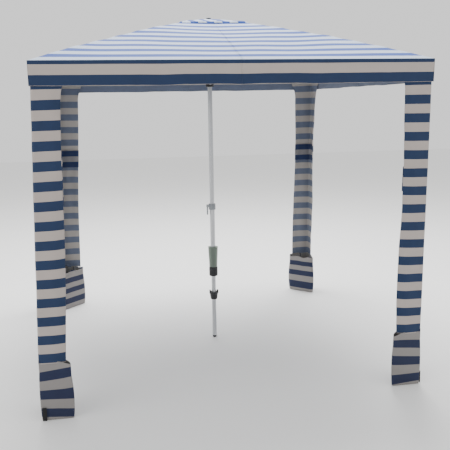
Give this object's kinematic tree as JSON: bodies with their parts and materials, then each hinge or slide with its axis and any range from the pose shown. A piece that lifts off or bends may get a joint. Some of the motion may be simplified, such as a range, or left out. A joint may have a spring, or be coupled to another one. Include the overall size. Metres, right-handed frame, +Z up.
{
  "type": "beach shelter",
  "caption": "Square pop-up beach shelter on a telescopic centre pole, with a striped canopy, vent cap, valance and fabric corner legs that end in open sand pockets.",
  "frame": {"origin": "on the ground, under the centre pole", "axes": "+Z up along the pole, +X to the right and -Y to the front, both square to the canopy's sides"},
  "size_m": [1.9, 1.9, 1.977],
  "materials": {
    "tube": "satin anodised tube",
    "dark_plastic": "moulded black plastic",
    "clear_plastic": "translucent grey-green plastic",
    "clamp": "grey plastic",
    "steel": "plain steel",
    "rib": "dark rod",
    "roof_cloth": "striped woven polyester",
    "valance_cloth": "striped woven polyester",
    "leg_cloth": "striped woven polyester, grey inside",
    "pocket_cloth": "striped woven polyester",
    "webbing": "black webbing"
  },
  "bodies": {
    "stand": {"lower_tube": "tube", "tip_plug": "dark_plastic", "foot_collar": "dark_plastic", "coupling_collar": "dark_plastic", "coupling_sleeve": "clear_plastic", "middle_tube": "tube", "clamp_body": "clamp", "clamp_pin": "steel"},
    "lever": {"clamp_lever": "clamp"},
    "mast": {"upper_tube": "tube", "top_hub": "dark_plastic", "hub_pins": "steel", "finial": "dark_plastic", "vent_cap": "roof_cloth"},
    "runner": {"runner": "dark_plastic"},
    "catch": {"runner_catch": "clamp"},
    "arm_front_left": {"rib_front_left": "rib", "rib_tip_front_left": "dark_plastic", "bracket_front_left": "clamp", "roof_front_left": "roof_cloth"},
    "strut_front_left": {"stretcher_front_left": "rib"},
    "corner_front_left": {"valance_front_left": "valance_cloth", "leg_front_left": "leg_cloth", "pocket_front_left": "pocket_cloth", "tie_band_front_left": "valance_cloth", "cord_lock_front_left": "dark_plastic", "web_tail_front_left": "webbing"},
    "arm_front_right": {"rib_front_right": "rib", "rib_tip_front_right": "dark_plastic", "bracket_front_right": "clamp", "roof_front_right": "roof_cloth"},
    "strut_front_right": {"stretcher_front_right": "rib"},
    "corner_front_right": {"valance_front_right": "valance_cloth", "leg_front_right": "leg_cloth", "pocket_front_right": "pocket_cloth", "tie_band_front_right": "valance_cloth", "cord_lock_front_right": "dark_plastic", "web_tail_front_right": "webbing"},
    "arm_back_right": {"rib_back_right": "rib", "rib_tip_back_right": "dark_plastic", "bracket_back_right": "clamp", "roof_back_right": "roof_cloth"},
    "strut_back_right": {"stretcher_back_right": "rib"},
    "corner_back_right": {"valance_back_right": "valance_cloth", "leg_back_right": "leg_cloth", "pocket_back_right": "pocket_cloth", "tie_band_back_right": "valance_cloth", "cord_lock_back_right": "dark_plastic", "web_tail_back_right": "webbing"},
    "arm_back_left": {"rib_back_left": "rib", "rib_tip_back_left": "dark_plastic", "bracket_back_left": "clamp", "roof_back_left": "roof_cloth"},
    "strut_back_left": {"stretcher_back_left": "rib"},
    "corner_back_left": {"valance_back_left": "valance_cloth", "leg_back_left": "leg_cloth", "pocket_back_left": "pocket_cloth", "tie_band_back_left": "valance_cloth", "cord_lock_back_left": "dark_plastic", "web_tail_back_left": "webbing"}
  },
  "joints": [
    {"name": "pole_height", "type": "slide", "parent": "stand", "child": "mast", "axis": [0, 0, 1], "range_m": [0, 0.15]},
    {"name": "clamp_flip", "type": "hinge", "parent": "stand", "child": "lever", "pos_m": [-0.029, 0, 0.857], "axis": [0, 1, 0], "range_deg": [0, 100]},
    {"name": "runner_travel", "type": "slide", "parent": "mast", "child": "runner", "axis": [0, 0, -1], "range_m": [0, 0.6107]},
    {"name": "catch_press", "type": "slide", "parent": "runner", "child": "catch", "axis": [0, 1, 0], "range_m": [0, 0.003], "stiffness_N_per_m": 500, "springref_m": -0.001},
    {"name": "rib_fold_front_left", "type": "hinge", "parent": "mast", "child": "arm_front_left", "pos_m": [-0.02263, -0.02263, 1.95483], "axis": [0.7071, -0.7071, 0], "range_deg": [0, 68.73], "deforming": ["roof_front_left", "valance_front_left"]},
    {"name": "strut_hinge_front_left", "type": "hinge", "parent": "arm_front_left", "child": "strut_front_left", "pos_m": [-0.33234, -0.33234, 1.86092], "axis": [0.7071, -0.7071, 0], "range_deg": [-123.9, 0]},
    {"name": "leg_hang_front_left", "type": "hinge", "parent": "arm_front_left", "child": "corner_front_left", "pos_m": [-0.93869, -0.93869, 1.66945], "axis": [0.7071, -0.7071, 0], "range_deg": [-68.83, 0]},
    {"name": "rib_fold_front_right", "type": "hinge", "parent": "mast", "child": "arm_front_right", "pos_m": [0.02263, -0.02263, 1.95483], "axis": [0.7071, 0.7071, 0], "range_deg": [0, 68.74], "deforming": ["roof_front_right", "valance_front_right"]},
    {"name": "strut_hinge_front_right", "type": "hinge", "parent": "arm_front_right", "child": "strut_front_right", "pos_m": [0.33234, -0.33234, 1.86092], "axis": [0.7071, 0.7071, 0], "range_deg": [-123.9, 0]},
    {"name": "leg_hang_front_right", "type": "hinge", "parent": "arm_front_right", "child": "corner_front_right", "pos_m": [0.93869, -0.93869, 1.66945], "axis": [0.7071, 0.7071, 0], "range_deg": [-68.83, 0]},
    {"name": "rib_fold_back_right", "type": "hinge", "parent": "mast", "child": "arm_back_right", "pos_m": [0.02263, 0.02263, 1.95483], "axis": [-0.7071, 0.7071, 0], "range_deg": [0, 68.74], "deforming": ["roof_back_right", "valance_back_right"]},
    {"name": "strut_hinge_back_right", "type": "hinge", "parent": "arm_back_right", "child": "strut_back_right", "pos_m": [0.33234, 0.33234, 1.86092], "axis": [-0.7071, 0.7071, 0], "range_deg": [-123.9, 0]},
    {"name": "leg_hang_back_right", "type": "hinge", "parent": "arm_back_right", "child": "corner_back_right", "pos_m": [0.93869, 0.93869, 1.66945], "axis": [-0.7071, 0.7071, 0], "range_deg": [-68.83, 0]},
    {"name": "rib_fold_back_left", "type": "hinge", "parent": "mast", "child": "arm_back_left", "pos_m": [-0.02263, 0.02263, 1.95483], "axis": [-0.7071, -0.7071, 0], "range_deg": [0, 68.74], "deforming": ["roof_back_left", "valance_back_left"]},
    {"name": "strut_hinge_back_left", "type": "hinge", "parent": "arm_back_left", "child": "strut_back_left", "pos_m": [-0.33234, 0.33234, 1.86092], "axis": [-0.7071, -0.7071, 0], "range_deg": [-123.9, 0]},
    {"name": "leg_hang_back_left", "type": "hinge", "parent": "arm_back_left", "child": "corner_back_left", "pos_m": [-0.93869, 0.93869, 1.66945], "axis": [-0.7071, -0.7071, 0], "range_deg": [-68.83, 0]}
  ],
  "couplings": [
    {"joint": "strut_hinge_front_left", "follows": "rib_fold_front_left", "ratio": -1.8013},
    {"joint": "leg_hang_front_left", "follows": "rib_fold_front_left", "ratio": -1},
    {"joint": "rib_fold_front_right", "follows": "rib_fold_front_left", "ratio": 1},
    {"joint": "strut_hinge_front_right", "follows": "rib_fold_front_left", "ratio": -1.8013},
    {"joint": "leg_hang_front_right", "follows": "rib_fold_front_left", "ratio": -1},
    {"joint": "rib_fold_back_right", "follows": "rib_fold_front_left", "ratio": 1},
    {"joint": "strut_hinge_back_right", "follows": "rib_fold_front_left", "ratio": -1.8013},
    {"joint": "leg_hang_back_right", "follows": "rib_fold_front_left", "ratio": -1},
    {"joint": "rib_fold_back_left", "follows": "rib_fold_front_left", "ratio": 1},
    {"joint": "strut_hinge_back_left", "follows": "rib_fold_front_left", "ratio": -1.8013},
    {"joint": "leg_hang_back_left", "follows": "rib_fold_front_left", "ratio": -1},
    {"joint": "runner_travel", "follows": "rib_fold_front_left", "m_per_rad": 0.50827}
  ]
}
